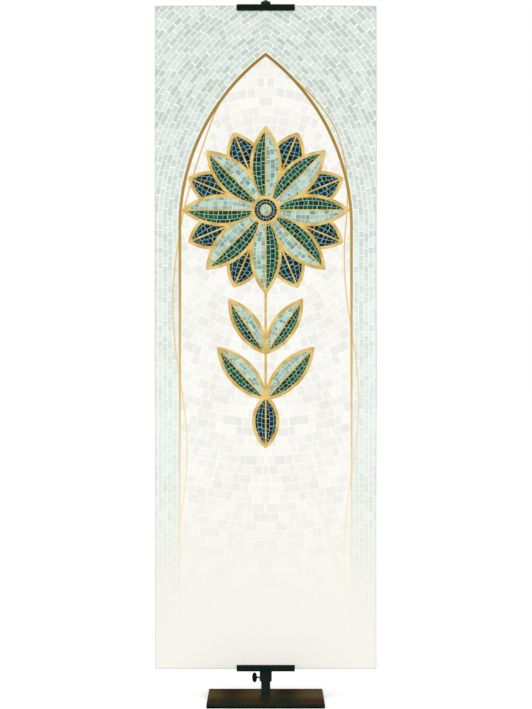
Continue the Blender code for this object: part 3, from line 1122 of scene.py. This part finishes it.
def stitchLine(start, end):
    # one row of stitches from start to end, each (x, z), laid flat at y = 0
    way = Vector((end[0] - start[0], 0.0, end[1] - start[1]))
    count = int(way.length / hem["pitch"])
    step = way / count
    bm = bmesh.new()
    bmesh.ops.create_icosphere(bm, subdivisions=1, radius=1.0)
    size = [hem["length"] / 2 if abs(part) > 1e-6 else hem["thread"] for part in way]
    bmesh.ops.scale(bm, vec=size, verts=bm.verts)
    bmesh.ops.translate(bm, vec=Vector((start[0], 0.0, start[1])) + step / 2, verts=bm.verts)
    row = addObject("stitch", meshFrom("stitch", bm))
    repeat = row.modifiers.new("repeat", "ARRAY")
    repeat.fit_type = "FIXED_COUNT"
    repeat.count = count
    repeat.use_relative_offset = False
    repeat.use_constant_offset = True
    repeat.constant_offset_displace = step
    bpy.context.view_layer.update()
    evaluated = row.evaluated_get(bpy.context.evaluated_depsgraph_get())
    laid = bpy.data.meshes.new_from_object(evaluated)
    bpy.data.objects.remove(row)
    return laid


def makeStitches(finish):
    half = cloth["width"] / 2
    side = half - hem["stitchIn"]
    low, high = cloth["bottom"] + hem["endStitchIn"], cloth["top"] - hem["endStitchIn"]
    foot, head = cloth["bottom"] + hem["sideEnds"], cloth["top"] - hem["sideEnds"]
    lines = [((x, foot), (x, head)) for x in (-side, side)]
    lines += [((-half + hem["crossEnds"], z), (half - hem["crossEnds"], z)) for z in (low, high)]
    proud = hem["thread"] * hem["proud"]
    bm = bmesh.new()
    for start, end in lines:
        laid = stitchLine(start, end)
        for off in (-proud, cloth["hemFolded"] + proud):
            known = len(bm.verts)
            bm.from_mesh(laid)
            bm.verts.ensure_lookup_table()
            for vert in bm.verts[known:]:
                vert.co.y = frontSkin(vert.co.x, vert.co.z) + off + vert.co.y * hem["flatness"]
    bmesh.ops.recalc_face_normals(bm, faces=bm.faces)
    return newPiece("hem_stitches", bm, finish, "stand", smoothAngle=80)


bannerCloth = makeCloth(makePrintedCloth())
hemStitches = makeStitches(makeHemThread())


# The two folded steel strips that grip the cloth

channel = {
    "web": 0.0030,
    "slot": cloth["hemFolded"] + 2 * touchGap,
    "bend": 0.0014,
    "rim": 0.00035,
}


def makeChannel(name, node, opensUp, finish):
    low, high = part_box(node)
    height = high.z - low.z
    slotBack = high.y - channelWall
    slotFront = slotBack - channel["slot"]
    section = [
        (low.y, 0.0),
        (high.y, 0.0),
        (high.y, height),
        (slotBack, height),
        (slotBack, channel["web"]),
        (slotFront, channel["web"]),
        (slotFront, height),
        (low.y, height),
    ]
    if not opensUp:
        section = [(y, height - z) for y, z in section]
    bm = bmesh.new()
    end = bm.faces.new([bm.verts.new((low.x, y, low.z + z)) for y, z in section])
    run = bmesh.ops.extrude_face_region(bm, geom=[end])
    moved = [part for part in run["geom"] if isinstance(part, bmesh.types.BMVert)]
    bmesh.ops.translate(bm, vec=(high.x - low.x, 0, 0), verts=moved)
    bmesh.ops.recalc_face_normals(bm, faces=bm.faces)
    webSide = low.z if opensUp else high.z
    near = 1e-5
    bends = [
        e for e in bm.edges
        if all(abs(v.co.z - webSide) < near for v in e.verts)
        and abs(e.verts[0].co.x - e.verts[1].co.x) > channelWall
    ]
    bevelEdges(bm, bends, channel["bend"], 6)
    outer = [
        e for e in bm.edges
        if e.calc_face_angle(0.0) > math.radians(60)
        and not all(slotFront - near < v.co.y < slotBack + near for v in e.verts)
    ]
    bevelEdges(bm, outer, channel["rim"], 2)
    return newPiece(name, bm, finish, "stand", [node], smoothAngle=35)


def boxHalves(node):
    low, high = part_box(node)
    return tuple((low + high) / 2), tuple((high - low) / 2)


for name, node, opensUp in (
    ("upper_channel_strip", "upper_channel", False),
    ("lower_channel_strip", "lower_channel", True),
):
    makeChannel(name, node, opensUp, makeStandPaint(node + "Paint", *boxHalves(node)))


# Pole, weld, cap and sleeve

poleLow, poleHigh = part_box("pole")
plateLow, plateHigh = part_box("base_plate")
capLow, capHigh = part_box("pole_cap")
sleeveLow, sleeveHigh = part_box("sliding_sleeve")

tube = {"radius": 0.0127, "wall": 0.0015, "steps": 96}
weld = {
    "width": 0.0028,
    "height": 0.0045,
    "inside": 0.0002,        # how far it reaches into the tube
    "ripples": 34,
    "rippleDepth": 0.00022,
    "rippleLean": 18.0,      # radians round the pole for each metre up
    "steps": 204,
    "arcSteps": 6,
}
cap = {
    "radius": 0.0137,
    "shoulder": 1.9266,
    "domeHeight": 0.0066,
    "domeFullness": 1.25,    # 2 is a round dome, and 1 a straight cone
    "domeSteps": 16,
    "tipRadius": 0.0022,
    "rimRound": 0.0008,
}
sleeve = {"radius": 0.01685, "round": 0.0012, "holeEnd": -0.006}
lug = {
    "width": 0.020,
    "height": 0.011,
    "round": 0.0009,
    "belowChannelTop": 0.002,
    "belowSleeveTop": 0.0016,
}
boreRadius = tube["radius"] + touchGap
cutPast = 0.004    # how far a hole's tool reaches past what it cuts
weldSpan = 0.05    # half the height of the box of its paint, so that the weld has no rubbed edge


def makePole(finish):
    inner, outer = tube["radius"] - tube["wall"], tube["radius"]
    foot = poleLow.z
    profile = [(inner, foot), (outer, foot), (outer, poleHigh.z), (inner, poleHigh.z)]
    bm = turnedMesh(profile, tube["steps"], isRing=True)
    return newPiece("pole_tube", bm, finish, "stand", ["pole"])


def makeWeld(finish):
    # a bead of weld round the foot, laid in overlapping ripples
    foot = poleLow.z
    inner = tube["radius"] - weld["inside"]
    profile = [(inner, foot)]
    for i in range(weld["arcSteps"]):
        turn = math.radians(90 * i / weld["arcSteps"])
        out, up = weld["width"] * math.cos(turn), weld["height"] * math.sin(turn)
        profile.append((tube["radius"] + out, foot + up))
    profile.append((inner, foot + weld["height"]))
    bm = turnedMesh(profile, weld["steps"], isRing=True)
    for vert in bm.verts:
        radius = math.hypot(vert.co.x, vert.co.y)
        out = (radius - tube["radius"]) / weld["width"]
        if out <= 0 or vert.co.z < foot + 1e-5:
            continue
        turn = math.atan2(vert.co.y, vert.co.x) + (vert.co.z - foot) * weld["rippleLean"]
        sunk = weld["rippleDepth"] * abs(math.sin(turn * weld["ripples"] / 2)) - weld["rippleDepth"]
        vert.co.x *= 1 + sunk / radius
        vert.co.y *= 1 + sunk / radius
    return newPiece("pole_weld", bm, finish, "stand", smoothAngle=60)


def withLug(bm, top, innerY):
    # a turned piece joined with the lug that reaches forwards to its channel
    block = boxMesh(
        (-lug["width"] / 2, channelHigh.y + touchGap, top - lug["height"]),
        (lug["width"] / 2, innerY, top),
    )
    bevelEdges(block, block.edges[:], lug["round"], 3)
    return withTool(bm, block, "UNION")


def makeCap(finish):
    # a straight wall and a low cone up to a small round tip
    roof = poleHigh.z + touchGap
    outer, rim, tip = cap["radius"], cap["rimRound"], cap["tipRadius"]
    profile = [(0.0, roof), (boreRadius, roof), (boreRadius, capLow.z)]
    profile += roundedCorner((outer - rim, capLow.z + rim), rim, -90, 0, 4)
    full = 2 / cap["domeFullness"]
    stop = math.acos((tip / outer) ** (1 / full))
    for i in range(cap["domeSteps"] + 1):
        turn = stop * i / cap["domeSteps"]
        up = cap["domeHeight"] * math.sin(turn) ** full
        profile.append((outer * math.cos(turn) ** full, cap["shoulder"] + up))
    profile += roundedCorner((0.0, capHigh.z - tip), tip, 0, 90, 6)[:-1] + [(0.0, capHigh.z)]
    bm = turnedMesh(profile, tube["steps"], isRing=False)
    bm = withLug(bm, channelHigh.z - lug["belowChannelTop"], -boreRadius - touchGap)
    return newPiece("cap_with_lug", bm, finish, "stand", ["pole_cap"])


def makeSleeve(finish):
    outer, corner = sleeve["radius"], sleeve["round"]
    low, high = sleeveLow.z, sleeveHigh.z
    profile = [(boreRadius, low)]
    profile += roundedCorner((outer - corner, low + corner), corner, -90, 0, 5)
    profile += roundedCorner((outer - corner, high - corner), corner, 0, 90, 5)
    profile += [(boreRadius, high)]
    bm = turnedMesh(profile, tube["steps"], isRing=True)
    bm = withLug(bm, high - lug["belowSleeveTop"], -boreRadius - touchGap * 2)
    bore = screw["radius"] + touchGap
    hole = rodMesh(bore, -outer - cutPast, sleeve["holeEnd"], screw["steps"])
    bm = withTool(bm, hole, "DIFFERENCE")
    return newPiece("sleeve_with_lug", bm, finish, "stand", ["sliding_sleeve"])


def rodMesh(radius, startX, endX, sides):
    # a round rod along the thumb screw's axis
    bm = bmesh.new()
    turn = Matrix.Rotation(math.pi / 2, 4, "Y")
    middle = Matrix.Translation(((startX + endX) / 2, 0.0, screw["height"]))
    bmesh.ops.create_cone(
        bm,
        cap_ends=True,
        segments=sides,
        radius1=radius,
        radius2=radius,
        depth=abs(endX - startX),
        matrix=middle @ turn,
    )
    return bm


# Thumb screw

shankLow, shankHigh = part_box("screw_shank")
wingLow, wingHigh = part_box("screw_wing")
screw = {
    "height": (shankLow.z + shankHigh.z) / 2,
    "radius": 0.0025,
    "core": 0.0020,
    "pitch": 0.0008,
    "steps": 32,
}
wing = {
    "segments": (64, 48),
    "fullness": 2.15,         # 2 is an oval grip, and more is squarer
    "hub": 0.0046,
    "hubSteps": 48,
    "hubRound": 0.0007,
    "hubInset": (0.0006, 0.0004),
    "thick": 0.00322,         # half its thickness, and the two below are shares of it
    "dishDepth": 0.34,
    "ribHeight": 0.06,
    "dishMiddle": 0.56,       # shares of the way from the hub's middle out to the rim
    "dishReach": 0.20,
    "ribsStart": 0.34,
    "ribsEnd": 0.84,
    "ribsFade": 0.1,
    "ribs": 5,
}


def makeShank(finish):
    # a real thread: one turn of its profile, wound along the axis, and cut off at both ends
    pitch, core, crest = screw["pitch"], screw["core"], screw["radius"]
    bm = bmesh.new()
    start = shankLow.x - pitch
    profile = [(0.0, core), (0.40, crest), (0.52, crest), (0.92, core), (1.0, core)]
    verts = [bm.verts.new((start + share * pitch, 0.0, radius)) for share, radius in profile]
    edges = [bm.edges.new(pair) for pair in zip(verts, verts[1:])]
    turns = math.ceil((shankHigh.x - shankLow.x) / pitch) + 2
    bmesh.ops.spin(
        bm,
        geom=verts + edges,
        axis=(1, 0, 0),
        cent=(0, 0, 0),
        dvec=(pitch / screw["steps"], 0, 0),
        angle=2 * math.pi * turns,
        steps=screw["steps"] * turns,
        use_merge=False,
    )
    bmesh.ops.remove_doubles(bm, verts=bm.verts, dist=2e-6)
    for x, outwards in ((shankLow.x, -1), (shankHigh.x, 1)):
        geom = bm.verts[:] + bm.edges[:] + bm.faces[:]
        bmesh.ops.bisect_plane(
            bm, geom=geom, plane_co=(x, 0, 0), plane_no=(outwards, 0, 0), clear_outer=True
        )
    bmesh.ops.holes_fill(bm, edges=[e for e in bm.edges if e.is_boundary])
    bmesh.ops.recalc_face_normals(bm, faces=bm.faces)
    bmesh.ops.translate(bm, vec=(0, 0, screw["height"]), verts=bm.verts)
    return newPiece("thread_rod", bm, finish, "thumb_screw", ["screw_shank"], 25)


def makeWing(finish):
    # an oval grip, dished between its rim and its hub, with low ribs across each side
    middle = (wingLow + wingHigh) / 2
    half = (wingHigh - wingLow) / 2
    bm = bmesh.new()
    aroundSteps, upSteps = wing["segments"]
    bmesh.ops.create_uvsphere(bm, u_segments=aroundSteps, v_segments=upSteps, radius=1.0)
    full = wing["fullness"]
    for vert in bm.verts:
        x, y, z = vert.co
        out = abs(z)
        if out < 0.999:
            x *= (1 - out**full) ** (1 / full) / math.sqrt(1 - out * out)
        off = (out - wing["dishMiddle"]) / wing["dishReach"]
        thick = 1.0 - wing["dishDepth"] * math.exp(-(off**2))
        rib = wing["ribHeight"] * math.cos(out * math.pi * 2 * wing["ribs"])
        rib *= smoothStep((out - wing["ribsStart"]) / wing["ribsFade"])
        rib *= smoothStep((wing["ribsEnd"] - out) / wing["ribsFade"])
        vert.co = (x, y * (thick + rib), z)
    bmesh.ops.scale(bm, vec=(half.x, wing["thick"], half.z), verts=bm.verts)
    bmesh.ops.translate(bm, vec=middle, verts=bm.verts)
    outerInset, innerInset = wing["hubInset"]
    hub = rodMesh(wing["hub"], wingLow.x + outerInset, wingHigh.x - innerInset, wing["hubSteps"])
    rims = [e for e in hub.edges if abs(e.verts[0].co.x - e.verts[1].co.x) < 1e-6]
    bevelEdges(hub, rims, wing["hubRound"], 3)
    bm = withTool(bm, hub, "UNION")
    bore = screw["radius"] + touchGap
    socket = rodMesh(bore, shankLow.x - touchGap, wingHigh.x + cutPast, screw["steps"])
    bm = withTool(bm, socket, "DIFFERENCE")
    return newPiece("thumb_grip", bm, finish, "thumb_screw", ["screw_wing"], 50)


for make, name, radius, low, high in (
    (makePole, "polePaint", tube["radius"], poleLow.z, poleHigh.z),
    (makeWeld, "weldPaint", tube["radius"], poleLow.z - weldSpan, poleLow.z + weldSpan),
    (makeCap, "capPaint", cap["radius"], capLow.z, capHigh.z),
    (makeSleeve, "sleevePaint", sleeve["radius"], sleeveLow.z, sleeveHigh.z),
):
    middle, half = (0, 0, (low + high) / 2), (radius, 1.0, (high - low) / 2)
    make(makeStandPaint(name, middle, half, isRound=True))
makeShank(makeScrewSteel())
makeWing(makeWingPlastic())


# Base plate

plate = {"corner": 0.003, "edge": 0.0012}


def makePlate(finish):
    bm = boxMesh(plateLow, plateHigh)
    thickness = plateHigh.z - plateLow.z
    upright = [e for e in bm.edges if abs(e.verts[0].co.z - e.verts[1].co.z) > thickness / 2]
    bevelEdges(bm, upright, plate["corner"], 8)
    topRim = [e for e in bm.edges if min(v.co.z for v in e.verts) > plateLow.z + thickness / 2]
    bevelEdges(bm, topRim, plate["edge"], 4)
    return newPiece("floor_plate", bm, finish, "stand", ["base_plate"], 35)


makePlate(makePlatePaintAndReflection(*boxHalves("base_plate")))


# Studio: a pale floor, a white surround and soft light from both sides

studio = {
    "floor": 60.0,
    "floorGlow": 0.20,
    "surround": 0.40,        # how strong the white surround is as a light
    "camera": (0.0008, -5.78, 0.955),
    "lens": 106.3,
}
fill = {"place": (0.0, -0.30, 0.07), "aim": (0.0, 0.0, 0.12), "size": (0.26, 0.06), "power": 0.035}

# Each sun's azimuth from the front and height in degrees, its strength, and its width in degrees
suns = {
    "keyLeft": (-42.0, 38.0, 1.07, 40.0),
    "keyRight": (42.0, 38.0, 0.89, 40.0),
    "overhead": (0.0, 84.0, 0.84, 60.0),
    "behind": (170.0, 40.0, 0.42, 40.0),
}


def makeFloor():
    finish, tree, shader = newFinish(
        "paleFloor",
        {
            "Roughness": 0.9,
            "Specular IOR Level": 0.0,
            "Base Color": (0.93, 0.93, 0.93, 1.0),
            "Emission Color": (1.0, 1.0, 1.0, 1.0),
        },
    )
    feed(tree, shader.inputs["Emission Strength"], seenByCamera(tree) * studio["floorGlow"])
    bm = bmesh.new()
    bmesh.ops.create_grid(bm, x_segments=1, y_segments=1, size=studio["floor"] / 2)
    floor = addObject("floor", meshFrom("floor", bm))
    floor.data.materials.append(finish)


def makeSurround():
    # white to the eye, and a softer white as a light
    world = bpy.data.worlds.new("studioWhite")
    scene.world = world
    world.use_nodes = True
    tree = world.node_tree
    background = tree.nodes["Background"]
    background.inputs["Color"].default_value = (1.0, 1.0, 1.0, 1.0)
    strength = seenByCamera(tree) * (1.0 - studio["surround"]) + studio["surround"]
    feed(tree, background.inputs["Strength"], strength)


def makeSun(name, azimuth, elevation, strength, spread):
    light = bpy.data.lights.new(name, "SUN")
    light.energy = strength
    light.angle = math.radians(spread)
    lamp = addObject(name, light)
    a, e = math.radians(azimuth), math.radians(elevation)
    towards = Vector((math.sin(a) * math.cos(e), -math.cos(a) * math.cos(e), math.sin(e)))
    lamp.rotation_euler = towards.to_track_quat("Z", "Y").to_euler()


def makeFill():
    # a small soft lamp that lifts the shade above the dark plate, seen by neither eye nor gloss
    light = bpy.data.lights.new("fill", "AREA")
    light.shape = "RECTANGLE"
    light.size, light.size_y = fill["size"]
    light.energy = fill["power"]
    lamp = addObject("fill", light)
    lamp.location = fill["place"]
    away = Vector(fill["place"]) - Vector(fill["aim"])
    lamp.rotation_euler = away.to_track_quat("Z", "Y").to_euler()
    lamp.visible_camera = False
    lamp.visible_glossy = False


def makeCamera():
    lens = bpy.data.cameras.new("camera")
    lens.lens = studio["lens"]
    lens.sensor_width = 36.0
    lens.clip_start = 0.05
    lens.clip_end = 200.0
    camera = addObject("camera", lens)
    camera.location = studio["camera"]
    camera.rotation_euler = (math.pi / 2, 0.0, 0.0)
    scene.camera = camera


makeFloor()
makeSurround()
for name, values in suns.items():
    makeSun(name, *values)
makeFill()
makeCamera()
scene.view_settings.view_transform = "Standard"
scene.view_settings.look = "None"
print("studio ready")
